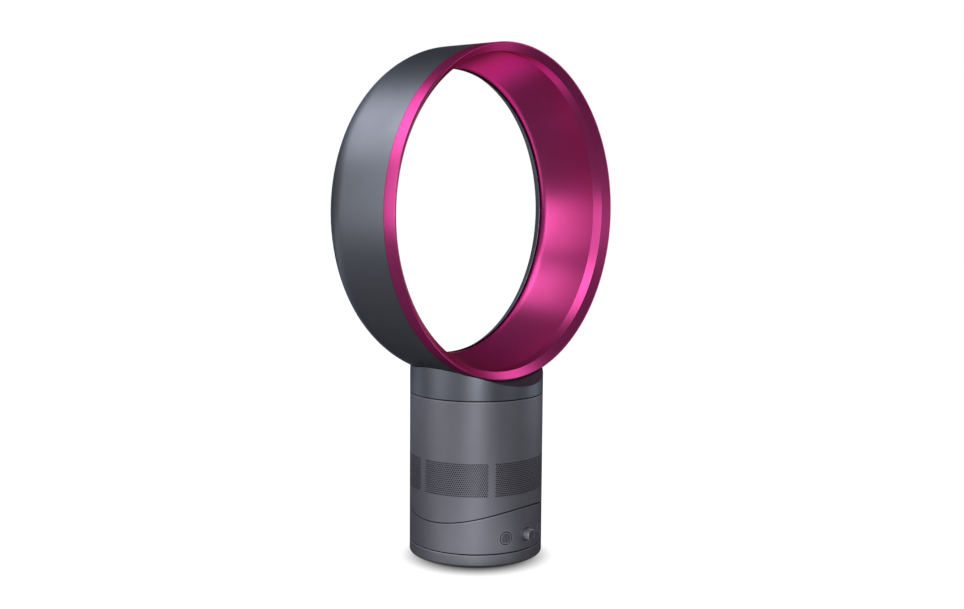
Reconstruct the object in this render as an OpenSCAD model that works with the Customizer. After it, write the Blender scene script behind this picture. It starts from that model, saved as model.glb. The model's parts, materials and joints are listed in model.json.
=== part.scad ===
// Desk fan with an open ring nozzle. A blower in the round base feeds a narrow slot around the ring.
// Front is -Y, up is +Z, and the origin is the centre of the underside, on the table.

/* [Ring nozzle] */
// Outer radius of the ring
ring_r = 177; // [165:1:190]
// Distance from the base's axis to the ring's front edge
ring_front = 50.2; // [46:0.5:56]
// Width of the coloured front band
band_w = 14.7; // [12:0.5:18]
// Radial depth of the front bevel
flare_w = 9; // [7:0.5:11]
// Axial depth of the front bevel
flare_d = 6.9; // [5:0.1:9]
// Length of the straight guide behind the bevel
guide_len = 12; // [9:0.5:15]
// Angle of the long diffuser cone
diffuser_a = 13.7; // [12:0.1:16]
// Radial thickness from the ring's outside to its throat
ring_t = 22.3; // [20.5:0.1:24]
// Radius of the curved surface in front of the slot
coanda_r = 19.5; // [18:0.5:21]
// Width of the air slot
slot_w = 1.4; // [1.2:0.1:1.6]
// Wall of the ring's two mouldings
ring_wall = 2; // [1.8:0.1:2.2]
// Number of spacers that hold the slot open
spacers = 48; // [24:1:60]

/* [Base] */
// Outer radius of the base
base_r = 72.3; // [71:0.1:76]
// Wall of the base's casings
wall = 2.4; // [2:0.1:2.8]
// Height of the fixed foot
foot_h = 14.3; // [13.9:0.1:16]
// Height of the seam under the collar
collar_z = 176.2; // [172:0.5:186]
// Height of the collar where it is lowest, under the ring
neck_h = 16.8; // [15:0.1:20]
// Gap that shows as a dark line at each seam
seam = 0.5; // [0.3:0.05:0.8]
// Chamfer of the edge under each seam
edge_c = 0.7; // [0.4:0.1:1]

/* [Tilt] */
// Height of the lowest point of the curved seam that the fan slides on
seam_low = 45.1; // [43:0.1:47]
// Radius of the curved seam, about the axis that the fan tilts on
tilt_r = 177.5; // [176:0.1:179]
// Thickness of the curved plates on either side of that seam
slide_t = 2.6; // [2.2:0.1:3]
// Largest tilt each way
tilt_a = 10; // [6:1:10]

/* [Intake grille] */
// Height of the middle of the perforated band
grille_z = 93; // [90:0.5:97]
// Height of the perforated band
grille_h = 36; // [30:0.5:38]
// Diameter of one hole
hole_d = 4.2; // [3:0.1:4.6]
// Distance between holes along a row
hole_pitch = 6.6; // [6:0.1:8]
// Distance between rows
row_pitch = 6.1; // [5.6:0.1:7]
// Width of the plain ribs that interrupt the band
rib_w = 5.3; // [4:0.1:8]

/* [Controls] */
// Height of the buttons and the dial
control_z = 30.2; // [29:0.1:31]
// Angle from the dial to each button
button_a = 22.6; // [21:0.1:25]
// Radius of a button's cap
button_r = 6.2; // [5:0.1:6.6]
// Travel of a button
button_travel = 0.8; // [0.5:0.1:1]
// Radius of the dial
dial_r = 6.4; // [5:0.1:6.8]
// How far the dial stands out of the casing
dial_out = 7.3; // [5:0.1:10]
// Depth of the dish in the dial's face
dish_h = 0.5; // [0.3:0.1:1]

/* [Oscillation drive] */
// Tooth size of the drive, pitch diameter over teeth
gear_m = 1.25; // [1.2:0.01:1.3]
// Teeth of the fixed gear in the foot
gear_teeth = 48; // [44:1:50]
// Teeth of the motor's pinion
pinion_teeth = 16; // [15:1:17]

/* [Blower] */
// Number of impeller blades
blades = 9; // [6:1:11]
// Number of fixed vanes behind the impeller
vanes = 11; // [6:1:13]
// Difference of radius between the impeller's outlet and its inlet
inlet_in = 21; // [18:0.5:24]
// Gap between the impeller's outlet and the casing's wall
outlet_gap = 11.9; // [10:0.1:15]
// Height of the impeller's blades
impeller_h = 34; // [30:0.5:36]
// Radius of the motor can
motor_r = 27; // [24:0.5:29]
// Length of the motor can
motor_h = 30; // [26:0.5:32]

/* [Hidden] */

// Shared fits and finish
over = 1;          // overrun of every cutting tool
fit = 0.1;         // clearance between pieces that are pushed together
run = 0.05;        // radial clearance of a shaft or a guide
air = 0.3;         // gap between pieces that move past each other
smooth = 180;      // segments of large rounds
round_n = 48;      // segments of small rounds
full = 360;
tilt_z = seam_low + tilt_r;
lap_a = 4;         // angle by which two arcs of one section run into each other

// Points at radius r and angle a in a section drawn as radius and axial distance
function polar(r, a) = [r * cos(a), r * sin(a)];

// A ring's section is drawn as [radius, distance behind the base's axis] and turned about the ring's axis
module about_ring(a = full) {
  translate([0, 0, ring_z])
    rotate([-90, 0, 0])
      rotate_extrude(angle = a, $fn = smooth)
        children();
}

// Part of a round wall between two radii and two angles
module arc_wall(r, t, a0, a1) {
  reach = r * 3;
  intersection() {
    difference() {
      circle(r = r, $fn = smooth);
      circle(r = r - t, $fn = smooth);
    }
    polygon([[0, 0], polar(reach, a0), polar(reach, (a0 + a1) / 2), polar(reach, a1)]);
  }
}

// Waste outside a rounded corner of radius r, where the corner is at [0, 0] and points to +x and -y
module corner_waste(r) {
  difference() {
    translate([-r, -over])
      square([r + over, r + over]);
    translate([-r, r])
      circle(r = r, $fn = round_n);
  }
}

// Upright tube from z0 to z1
module tube(r, t, z0, z1) {
  translate([0, 0, z0])
    difference() {
      cylinder(r = r, h = z1 - z0, $fn = smooth);
      translate([0, 0, -over])
        cylinder(r = r - t, h = z1 - z0 + 2 * over, $fn = smooth);
    }
}

// Casing wall from z0 to z1 with chamfers c0 and c1 on its outer edges
module casing_tube(z0, z1, c0, c1) {
  rotate_extrude($fn = smooth)
    polygon([[base_r - wall, z0], [base_r - c0, z0], [base_r, z0 + c0], [base_r, z1 - c1],
             [base_r - c1, z1], [base_r - wall, z1]]);
}

// Round bar about the tilt axis, through the whole base
module tilt_drum(r) {
  translate([0, 0, tilt_z])
    rotate([0, 90, 0])
      cylinder(r = r, h = 2 * base_r + 2 * over, center = true, $fn = smooth);
}

// Bar of radius r that points out of the front at angle a, from distance d0 to distance d1
module spoke(a, z, r, d0, d1, n = round_n) {
  rotate([0, 0, a])
    translate([0, -d0, z])
      rotate([90, 0, 0])
        cylinder(r = r, h = d1 - d0, $fn = n);
}

// Screw with a countersunk head, pointing down from z
module screw(z, len, up = false) {
  translate([0, 0, z])
    mirror([0, 0, up ? 1 : 0])
      union() {
        translate([0, 0, -screw_head_h])
          cylinder(r1 = screw_r, r2 = screw_head_r, h = screw_head_h, $fn = round_n);
        translate([0, 0, -len])
          cylinder(r = screw_r, h = len - screw_head_h, $fn = round_n);
      }
}

// Hole that a screw of the same place sits in
module screw_hole(z, len, up = false) {
  translate([0, 0, z])
    mirror([0, 0, up ? 1 : 0])
      union() {
        translate([0, 0, -screw_head_h])
          cylinder(r1 = screw_r + fit, r2 = screw_head_r + fit, h = screw_head_h + fit, $fn = round_n);
        translate([0, 0, -len - fit])
          cylinder(r = screw_r + fit, h = len, $fn = round_n);
      }
}

screw_r = 1.5;
screw_head_r = 2.8;
screw_head_h = 1.4;

// Ring nozzle, worked out from front to back as [radius, distance behind the base's axis]
ring_z = collar_z + neck_h + ring_r;
edge_r = 1.2;                      // rounding of the front edge
tip_w = 0.6;                       // flat at the very front
guide_r = ring_r - flare_w;
throat_r = ring_r - ring_t;
bevel_y = flare_d - ring_front;
guide_y = bevel_y + guide_len;
diffuser_len = (guide_r - throat_r) / tan(diffuser_a);
throat_y = guide_y + diffuser_len;
coanda_c = [throat_r + coanda_r * cos(diffuser_a), throat_y + coanda_r * sin(diffuser_a)];
mouth_a0 = 180 + diffuser_a;       // where the curve leaves the diffuser
mouth_a1 = 134;                    // where the inner moulding ends, inside the shell
mouth_n = 20;                      // steps of the curve between them
lip_a = 25;                        // slope of the lip over the slot
nose_r = 8;
nose_dx = 9.3;                     // nose centre, inward of the curve's centre
nose_dy = 13.1;                    // and behind it
nose_c = [coanda_c[0] - nose_dx, coanda_c[1] + nose_dy];
nose_a1 = 180 - lip_a;
shoulder_a = 30;
shoulder_r = (ring_r - nose_c[0] - nose_r * cos(shoulder_a)) / (1 - cos(shoulder_a));
shoulder_y = nose_c[1] - (shoulder_r - nose_r) * sin(shoulder_a);
ring_back = nose_c[1] + nose_r;
lip_len = 6.9;
lip_tip_r = 0.6;
lip_cover = 3;                     // thickness of the blank that the lip is cut from
band_y = band_w - ring_front;      // back edge of the coloured band
band_seam = 0.4;
shell_y = band_y + band_seam;      // front edge of the shell
tongue_len = 8;                    // lap of the band inside the shell
tongue_t = 1.6;
seal_t = 1;
duct_x = 35;                       // half distance between the ends of the duct into the ring
duct_r = 20;

module nozzle_shell() {
  lip_dir = [-sin(lip_a), -cos(lip_a)];
  lip_in = [cos(lip_a), -sin(lip_a)];
  lip_0 = nose_c + polar(nose_r, nose_a1);
  lip_1 = lip_0 + lip_len * lip_dir;
  color("#6e727e") difference() {
    about_ring() {
      translate([ring_r - ring_wall, shell_y])
        square([ring_wall, shoulder_y - shell_y]);
      translate([ring_r - shoulder_r, shoulder_y])
        arc_wall(shoulder_r, ring_wall, 0, shoulder_a);
      translate(nose_c)
        arc_wall(nose_r, ring_wall, shoulder_a - lap_a, nose_a1);
      difference() {
        union() {
          polygon([lip_0, lip_1, lip_1 + lip_cover * lip_in, nose_c + polar(nose_r - ring_wall, nose_a1),
                   nose_c + polar(nose_r - ring_wall / 2, nose_a1 - lap_a)]);
          translate(lip_1 + lip_tip_r * lip_in)
            circle(r = lip_tip_r, $fn = round_n);
        }
        translate(coanda_c)
          circle(r = coanda_r + slot_w, $fn = smooth);
      }
    }
    duct(ring_z - ring_r - over);
  }
}

// Upright passage from the collar into the ring, open from z up
module duct(z) {
  h = neck_h + ring_r - sqrt(pow(ring_r, 2) - pow(duct_x + duct_r, 2)) + 2 * over;
  translate([0, 0, z]) {
    translate([-duct_x, -duct_r, 0])
      cube([2 * duct_x, 2 * duct_r, h]);
    for (side = [-1, 1])
      translate([side * duct_x, 0, 0])
        cylinder(r = duct_r, h = h, $fn = round_n);
  }
}

// Points on the curved surface in front of the slot, from the throat back into the shell
function mouth(r) = [for (i = [0:mouth_n])
    coanda_c + polar(r, mouth_a0 + (mouth_a1 - mouth_a0) * i / mouth_n)];
function backward(points) = [for (i = [len(points) - 1:-1:0]) points[i]];

module nozzle_inner_ring() {
  n = polar(ring_wall, diffuser_a);
  band_in = ring_r - ring_wall;
  tongue_r = band_in - fit;
  bevel_back = ring_wall * flare_d / flare_w;
  color("#b03078") about_ring()
    difference() {
      polygon(concat(
        [[ring_r, -ring_front], [ring_r - edge_r - tip_w, -ring_front], [guide_r, bevel_y], [guide_r, guide_y]],
        mouth(coanda_r), backward(mouth(coanda_r - ring_wall)),
        [[guide_r, guide_y] + n, [guide_r + ring_wall, bevel_y + bevel_back],
         [band_in - tongue_t, bevel_back + ring_wall - ring_front],
         [band_in - tongue_t, band_y + tongue_len], [tongue_r, band_y + tongue_len], [tongue_r, band_y],
         [ring_r, band_y]]));
      translate([ring_r, -ring_front])
        corner_waste(edge_r);
    }
}

// Soft ring that closes the lap between the two mouldings
module front_seal() {
  r = ring_r - ring_wall - tongue_t - fit;
  color("#202024") about_ring()
    translate([r - seal_t, band_y + tongue_len / 2])
      square([seal_t, tongue_len]);
}

// Small ribs in the mouth that keep its width even
module slot_spacers() {
  rib_a = 0.5;
  a0 = 143;
  a1 = 150;
  color("#9a9da6") for (i = [0:spacers - 1])
    translate([0, 0, ring_z])
      rotate([0, i * full / spacers, 0])
        translate([0, 0, -ring_z])
          about_ring(rib_a)
            translate(coanda_c)
              arc_wall(coanda_r + slot_w, slot_w, a0, a1);
}

// Collar that carries the ring
saddle_gap = 0.6;                  // below the ring's front band
saddle_fall = 4;                   // how far the collar falls away from the ring at its rim
plate_t = 2.6;
spigot_t = 3;
spigot_len = 8;

module nozzle_collar() {
  top = ring_z - sqrt(pow(ring_r, 2) - pow(base_r, 2)) + over;
  rim = ring_r + saddle_fall;
  color("#6e727e") difference() {
    union() {
      translate([0, 0, collar_z + seam])
        cylinder(r = base_r, h = top - collar_z - seam, $fn = smooth);
      translate([0, 0, collar_z - spigot_len])
        cylinder(r = base_r - wall - air, h = spigot_len + seam + over, $fn = smooth);
    }
    about_ring() {
      polygon([[0, -base_r - over], [rim, -base_r - over], [rim, -base_r], [ring_r + saddle_gap, -ring_front],
               [ring_r + saddle_gap, shell_y], [ring_r + fit, shell_y], [ring_r + fit, shoulder_y],
               [0, shoulder_y]]);
      polygon([[0, shoulder_y], [ring_r + fit - shoulder_r * (1 - cos(shoulder_a / 2)), shoulder_y],
               [nose_c[0], ring_back], [ring_r + fit, ring_back], [rim, base_r], [rim, base_r + over],
               [0, base_r + over]]);
      translate([ring_r - shoulder_r, shoulder_y])
        circle(r = shoulder_r + fit, $fn = smooth);
    }
    difference() {
      translate([0, 0, collar_z - spigot_len - over])
        cylinder(r = base_r - wall - air - spigot_t, h = top, $fn = smooth);
      translate([0, 0, ring_z])
        rotate([90, 0, 0])
          cylinder(r = rim + plate_t, h = 2 * base_r, center = true, $fn = smooth);
    }
    duct(collar_z);
  }
}

// Soft lip that stops air between the body and the nozzle
module neck_seal() {
  r = base_r - wall - air - spigot_t - fit;
  color("#202024") difference() {
    tube(r, spigot_t, collar_z - spigot_len, collar_z - spigot_len / 2);
    translate([0, 0, collar_z - spigot_len - over])
      cylinder(r1 = r - fit, r2 = r - spigot_t, h = over + spigot_t, $fn = smooth);
  }
}

// Fixed foot
mat_in = 5;                        // edge of the mat, inside the foot's edge
mat_r = base_r - mat_in;
mat_t = 1.6;
mat_drop = 0.8;                    // how far the mat stands out below the foot
floor_t = 2.8;
foot_edge = 2.4;                   // rounding of the foot's lower edge
foot_top = foot_h - seam / 2;
foot_wall = wall;
hub_r = 15;
pivot_r = 9;
pivot_bore = 6.5;
clip_t = 1;
clip_w = 3.6;
clip_room = 0.9;
clip_depth = 0.7;
hub_top = foot_h - air;
glide_in = 4.9;                    // gap between the glide ring and the foot's wall
glide_w = 6;
glide_t = 3;
ledge_r1 = base_r - foot_wall - glide_in;
ledge_r0 = ledge_r1 - glide_w;
floor_z = mat_t + floor_t;
gear_stand = 1.6;
gear_z = floor_z + gear_stand;
gear_t = 5;
grommet_r = 4.1;
grommet_bore = 3;
grommet_z = 7.6;
grommet_lip = 1.4;

module foot_base() {
  clip_top = mat_t + clip_room + clip_t + air;
  color("#6e6e78") difference() {
    union() {
      rotate_extrude($fn = smooth)
        difference() {
          polygon([[0, mat_drop], [base_r, mat_drop], [base_r, foot_top - edge_c], [base_r - edge_c, foot_top],
                   [base_r - foot_wall, foot_top], [base_r - foot_wall, floor_z], [0, floor_z]]);
          translate([base_r, mat_drop])
            corner_waste(foot_edge);
        }
      tube(ledge_r1, glide_w, floor_z - mat_drop, table_z - air - glide_t);
      cylinder(r = hub_r, h = hub_top, $fn = smooth);
      for (a = gear_screw_angles)
        rotate([0, 0, a])
          translate([gear_screw_pcr, 0, mat_t])
            cylinder(r = gear_boss_r, h = gear_z - mat_t, $fn = round_n);
      grommet_boss();
    }
    translate([0, 0, mat_drop - over])
      cylinder(r = mat_r + fit, h = mat_t - mat_drop + over, $fn = smooth);
    cylinder(r = pivot_r + run, h = hub_top + over, $fn = smooth);
    translate([0, 0, mat_drop])
      cylinder(r = pivot_r + clip_w, h = clip_top - mat_drop, $fn = smooth);
    for (a = gear_screw_angles)
      rotate([0, 0, a])
        translate([gear_screw_pcr, 0, 0])
          screw_hole(gear_z + gear_t, gear_screw_len);
    spoke(180, grommet_z, grommet_r + fit, ledge_r0 - over, base_r + over);
  }
}

// Thicker stretch of the foot's wall behind the cable entry
module grommet_boss() {
  intersection() {
    spoke(180, grommet_z, grommet_r + grommet_lip, ledge_r1 + air, base_r - foot_wall / 2);
    cylinder(r = base_r - foot_wall / 2, h = foot_h - 2 * air, $fn = smooth);
  }
}

gear_screw_angles = [30, 150, 270];
gear_boss_r = 3.4;
gear_screw_in = 2.6;               // between the hub and a gear screw's boss
gear_screw_pcr = hub_r + gear_screw_in + gear_boss_r;
gear_screw_len = 8.4;

module rubber_mat() {
  color("#202024") cylinder(r = mat_r, h = mat_t, $fn = smooth);
}

module cable_grommet() {
  in = ledge_r1 + air;
  color("#202024") difference() {
    union() {
      spoke(180, grommet_z, grommet_r, in, base_r + grommet_lip / 2);
      difference() {
        spoke(180, grommet_z, grommet_r + grommet_lip, base_r - grommet_lip, base_r + grommet_lip);
        cylinder(r = base_r + run, h = foot_h, $fn = smooth);
      }
    }
    spoke(180, grommet_z, grommet_bore, in - over, base_r + 2 * grommet_lip);
  }
}

// Gear teeth: each flank is drawn through the involute of the base circle
tooth_play = 0.16;                 // backlash on each flank
tip_play = 0.25;                   // share of the module left free at the root
pressure_a = 20;
flank_n = 5;

// Angle in degrees that the involute of base radius rb has turned at radius r
function involute(rb, r) = r <= rb ? 0 : (sqrt(pow(r / rb, 2) - 1) - acos(rb / r) * PI / 180) * 180 / PI;

// Outline of a gear with n teeth, first tooth on the +X axis
function gear_outline(n, m) = let (
    pr = m * n / 2,
    rb = pr * cos(pressure_a),
    rt = pr + m,
    r0 = max(rb, pr - m),
    rr = pr - (1 + tip_play) * m,
    half = 90 / n - tooth_play / pr * 90 / PI + involute(rb, pr)
  ) [for (i = [0:n - 1]) let (c = i * full / n) each concat(
      [polar(rr, c - half)],
      [for (k = [0:flank_n]) let (r = r0 + (rt - r0) * k / flank_n) polar(r, c - half + involute(rb, r))],
      [for (k = [flank_n:-1:0]) let (r = r0 + (rt - r0) * k / flank_n) polar(r, c + half - involute(rb, r))],
      [polar(rr, c + half)])];

gear_pr = gear_m * gear_teeth / 2;
pinion_pr = gear_m * pinion_teeth / 2;
drive_d = gear_pr + pinion_pr;     // distance from the base's axis to the pinion

module oscillation_gear() {
  color("#e8e6dc") difference() {
    translate([0, 0, gear_z])
      rotate([0, 0, 90])
        linear_extrude(gear_t)
          polygon(gear_outline(gear_teeth, gear_m));
    cylinder(r = hub_r + fit, h = foot_h, $fn = smooth);
    for (a = gear_screw_angles)
      rotate([0, 0, a])
        translate([gear_screw_pcr, 0, 0])
          screw_hole(gear_z + gear_t, gear_screw_len);
  }
}

module gear_screws() {
  color("#b8bcc0") for (a = gear_screw_angles)
    rotate([0, 0, a])
      translate([gear_screw_pcr, 0, 0])
        screw(gear_z + gear_t, gear_screw_len);
}

module glide_ring() {
  color("#e8e6dc") tube(ledge_r1, glide_w, table_z - air - glide_t, table_z - air);
}

// Turning lower body
table_z = foot_h + seam / 2;       // underside of everything that turns
table_t = 2.8;
table_r = base_r - wall - fit;
boss_r = 4.2;
boss_lap = 0.4;                    // how far a boss runs into the casing's wall
boss_pcr = base_r - wall - boss_r + boss_lap;
boss_h = 16;
boss_angles = [45, 135, 225, 315];
casing_screw_len = 12;

module turntable_plate() {
  clip_z = mat_t + clip_room;
  color("#6e6e78") difference() {
    union() {
      translate([0, 0, table_z])
        cylinder(r = table_r, h = table_t, $fn = smooth);
      translate([0, 0, mat_t + air])
        cylinder(r = pivot_r, h = table_z - mat_t, $fn = smooth);
      for (x = [-1, 1])
        translate([x * motor_ear_x, drive_d, table_z])
          cylinder(r = boss_r, h = drive_z - table_z, $fn = round_n);
      for (p = board_posts)
        translate([p[0], p[1], table_z])
          cylinder(r = post_r, h = board_z - table_z, $fn = round_n);
      translate([-panel_w / 2, -panel_y, table_z])
        cube([panel_w, shelf_t, panel_z0 - table_z]);
    }
    translate([0, 0, mat_t])
      cylinder(r = pivot_bore, h = foot_h + table_t + over, $fn = smooth);
    difference() {
      translate([0, 0, clip_z])
        cylinder(r = pivot_r + over, h = clip_t + fit, $fn = smooth);
      translate([0, 0, clip_z - over])
        cylinder(r = pivot_r - clip_depth, h = clip_t + 2 * over + fit, $fn = smooth);
    }
    translate([0, drive_d, table_z - over])
      cylinder(r = pinion_pr + 2 * gear_m, h = table_t + 2 * over, $fn = smooth);
    for (a = boss_angles)
      rotate([0, 0, a])
        translate([boss_pcr, 0, 0])
          screw_hole(table_z, casing_screw_len, true);
    for (x = [-1, 1])
      translate([x * motor_ear_x, drive_d, 0])
        screw_hole(drive_z + ear_t, ear_screw_len);
  }
}

module retaining_clip() {
  clip_z = mat_t + clip_room;
  mouth = pivot_r;
  color("#b8bcc0") difference() {
    translate([0, 0, clip_z])
      cylinder(r = pivot_r + clip_w - 2 * air, h = clip_t, $fn = smooth);
    translate([0, 0, clip_z - over])
      cylinder(r = pivot_r - clip_depth + fit / 2, h = clip_t + 2 * over, $fn = smooth);
    translate([0, -mouth / 2, clip_z - over])
      cube([2 * pivot_r, mouth, clip_t + 2 * over]);
  }
}

guide_t = 1.8;                     // wall of a button's guide
guide_len_in = 9;                  // depth of a button's guide behind the outer face
stem_r = 2.5;
button_gap = 0.5;                  // shadow line round a button

module lower_casing() {
  color("#7d7d86") difference() {
    union() {
      casing_tube(table_z, tilt_z, edge_c / 2, 0);
      for (a = boss_angles)
        rotate([0, 0, a])
          translate([boss_pcr, 0, table_z + table_t + fit])
            cylinder(r = boss_r, h = boss_h, $fn = round_n);
      for (s = [-1, 1])
        intersection() {
          spoke(s * button_a, control_z, button_r + button_gap + guide_t, base_r - guide_len_in, base_r);
          cylinder(r = base_r - wall / 2, h = tilt_z, $fn = smooth);
        }
    }
    tilt_drum(tilt_r);
    difference() {
      tilt_drum(tilt_r + edge_c);
      cylinder(r = base_r - edge_c, h = tilt_z, $fn = smooth);
    }
    for (s = [-1, 1]) {
      spoke(s * button_a, control_z, button_r + button_gap, base_r - guide_len_in + guide_t, base_r + over);
      spoke(s * button_a, control_z, stem_r + run, base_r - guide_len_in - over, base_r + over);
      countersink(s * button_a, button_r + button_gap);
    }
    spoke(0, control_z, dial_r + button_gap, base_r - 2 * wall, base_r + over);
    countersink(0, dial_r + button_gap);
    for (a = boss_angles)
      rotate([0, 0, a])
        translate([boss_pcr, 0, 0])
          screw_hole(table_z, casing_screw_len, true);
  }
}

// Chamfer round a hole of radius r in the casing, at the controls' height
module countersink(a, r) {
  rotate([0, 0, a])
    translate([0, edge_c - base_r, control_z])
      rotate([90, 0, 0])
        cylinder(r1 = r, r2 = r + edge_c + over, h = edge_c + over, $fn = round_n);
}

module casing_screws() {
  color("#b8bcc0") for (a = boss_angles)
    rotate([0, 0, a])
      translate([boss_pcr, 0, 0])
        screw(table_z, casing_screw_len, true);
}

keeper_w = 22;                     // width of the keeper's stem
keeper_l = 16;                     // length of the stem along the slide
keeper_plate_w = 46;
keeper_plate_l = 44;
keeper_t = 2.4;
slot_room = tilt_r * sin(tilt_a) + keeper_l / 2 + over;

// Hollow top of the lower body, which the fan slides on
module cradle_plate() {
  color("#6e6e78") difference() {
    intersection() {
      translate([0, 0, table_z])
        cylinder(r = base_r - wall - fit, h = tilt_z, $fn = smooth);
      tilt_drum(tilt_r + slide_t);
    }
    tilt_drum(tilt_r);
    translate([-keeper_w / 2 - air, -slot_room, table_z])
      cube([keeper_w + 2 * air, 2 * slot_room, tilt_z - table_z]);
  }
}

// Geared motor that swings the fan from side to side
drive_stand = 1.6;
drive_z = table_z + table_t + drive_stand;
drive_in = 5.9;                    // gap between the geared motor and the casing
drive_r = base_r - wall - drive_in - drive_d;
drive_h = 17;
ear_t = 1.6;
ear_r = 4;
motor_ear_x = 29;
ear_screw_len = 7;
shaft_r = 2.5;
shaft_in = 9;                      // length of the pinion's shaft inside the motor

module oscillation_motor() {
  color("#b8bcc0") difference() {
    union() {
      translate([0, drive_d, drive_z])
        cylinder(r = drive_r, h = drive_h, $fn = smooth);
      translate([-motor_ear_x, drive_d - ear_r, drive_z])
        cube([2 * motor_ear_x, 2 * ear_r, ear_t]);
      for (x = [-1, 1])
        translate([x * motor_ear_x, drive_d, drive_z])
          cylinder(r = ear_r, h = ear_t, $fn = round_n);
    }
    translate([0, drive_d, drive_z - over])
      cylinder(r = shaft_r + run, h = shaft_in + over + air, $fn = round_n);
    for (x = [-1, 1])
      translate([x * motor_ear_x, drive_d, 0])
        screw_hole(drive_z + ear_t, ear_screw_len);
  }
}

module motor_screws() {
  color("#b8bcc0") for (x = [-1, 1])
    translate([x * motor_ear_x, drive_d, 0])
      screw(drive_z + ear_t, ear_screw_len);
}

module drive_pinion() {
  color("#e8e6dc") translate([0, drive_d, gear_z]) {
    rotate([0, 0, -90 + 180 / pinion_teeth])
      linear_extrude(gear_t)
        polygon(gear_outline(pinion_teeth, gear_m));
    cylinder(r = shaft_r, h = drive_z - gear_z + shaft_in, $fn = round_n);
  }
}

// Circuit boards of the lower body
board_stand = 4;
board_z = table_z + table_t + board_stand;
board_t = 1.6;
board_in = 13.9;                   // between the board's outer edge and the casing's inside
board_size = [40, 40];
board_x = [board_in + wall - base_r, board_in + wall - base_r + board_size[0]];
board_y = [-30, 10];
post_r = 3;
post_in = 4;
board_posts = [for (x = [board_x[0] + post_in, board_x[1] - post_in])
                 for (y = [board_y[0] + post_in, board_y[1] - post_in]) [x, y]];
capacitor_r = 6;
capacitor_h = 12;
choke_size = [16, 14, 11];
panel_w = 56;                      // upright board behind the controls
panel_in = 19.9;                   // between that board and the casing's inside
panel_y = base_r - wall - panel_in;
panel_z0 = table_z + table_t;
panel_over = 8;                    // height of that board above the controls
panel_z1 = control_z + panel_over;
shelf_t = 4;

module main_board() {
  mid_x = (board_x[0] + board_x[1]) / 2;
  mid_y = (board_y[0] + board_y[1]) / 2;
  color("#2f6b45") translate([board_x[0], board_y[0], board_z])
    cube([board_x[1] - board_x[0], board_y[1] - board_y[0], board_t]);
  color("#33363c") translate([mid_x, mid_y + capacitor_r + 2 * fit, board_z])
    cylinder(r = capacitor_r, h = capacitor_h, $fn = round_n);
  color("#33363c") translate([mid_x - choke_size[0] / 2, mid_y - choke_size[1], board_z])
    cube(choke_size);
}

module control_board() {
  color("#2f6b45") difference() {
    translate([-panel_w / 2, -panel_y, panel_z0 + fit])
      cube([panel_w, board_t, panel_z1 - panel_z0]);
    spoke(0, control_z, shaft_r + fit, panel_y - 2 * board_t, panel_y + board_t);
  }
}

switch_w = 6;
switch_t = 3.5;
switch_x = (panel_y + switch_t) * tan(button_a);

module tact_switches() {
  color("#33363c") for (s = [-1, 1])
    translate([s * switch_x - switch_w / 2, -panel_y - switch_t, control_z - switch_w / 2])
      cube([switch_w, switch_t, switch_w]);
}

pot_r = 8;
pot_t = 6;

module speed_potentiometer() {
  color("#b8bcc0") difference() {
    spoke(0, control_z, pot_r, panel_y, panel_y + pot_t, smooth);
    spoke(0, control_z, shaft_r + run, panel_y - over, panel_y + pot_t + over);
  }
}

// One push button, drawn at the dial's place and turned to its own
stem_in = (panel_y + switch_t + button_travel + air) / cos(button_a) + stem_r * tan(button_a);
button_proud = 0.3;                // how far a button stands out of the casing

module button(side) {
  a = side * button_a;
  intersection() {
    union() {
      spoke(a, control_z, button_r, base_r - guide_len_in + guide_t + button_travel + air, base_r + over);
      spoke(a, control_z, stem_r, stem_in, base_r);
    }
    cylinder(r = base_r + button_proud, h = tilt_z, $fn = smooth);
  }
}

module power_button() {
  color("#6a6a72") button(-1);
}

module oscillation_button() {
  color("#6a6a72") button(1);
}

dial_rim = 0.8;                    // chamfer of the dial's face, and the width of its groove
dish_in = 1.2;                     // width of the rim round the dish

module speed_dial() {
  face_y = base_r + dial_out;
  back_y = base_r - wall - 2 * air;
  groove_y = face_y - 3 * dial_rim;
  color("#6a6a72") translate([0, 0, control_z])
    rotate([90, 0, 0])
      rotate_extrude($fn = smooth)
        polygon([[0, panel_y], [shaft_r, panel_y], [shaft_r, back_y], [dial_r, back_y],
                 [dial_r, groove_y - dial_rim], [dial_r - dish_h, groove_y - dial_rim / 2],
                 [dial_r - dish_h, groove_y], [dial_r, groove_y + dial_rim / 2], [dial_r, face_y - dial_rim],
                 [dial_r - dial_rim, face_y], [dial_r - dial_rim - dish_in, face_y],
                 [dial_r - dial_rim - dish_in - dish_h, face_y - dish_h], [0, face_y - dish_h]]);
}

// Tilting body
slide_r = tilt_r - air;            // sliding surface of the upper part
body_top = collar_z;
half_turn = 180;
rib_angles = [35.3, 99.3, 180];    // ribs of the grille, from the front, on each side
rib_pairs = [[-rib_angles[0], rib_angles[0]], [rib_angles[0], rib_angles[1]], [rib_angles[1], rib_angles[2]],
             [-rib_angles[1], -rib_angles[0]], [-rib_angles[2], -rib_angles[1]]];
rib_half = rib_w / 2 / base_r * half_turn / PI;
win_z = [grille_z - grille_h / 2, grille_z + grille_h / 2];
ledge_in = 24.2;                   // ledge that the blower stands on, below the collar
ledge_z = collar_z - ledge_in;
ledge_t = 3;
ledge_w = 7;

// Sector of a tube between two angles from the front
module sector(r, t, z0, z1, a0, a1) {
  translate([0, 0, z0])
    rotate([0, 0, a0 - 90])
      rotate_extrude(angle = a1 - a0, $fn = smooth)
        translate([r - t, 0])
          square([t, z1 - z0]);
}

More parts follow.
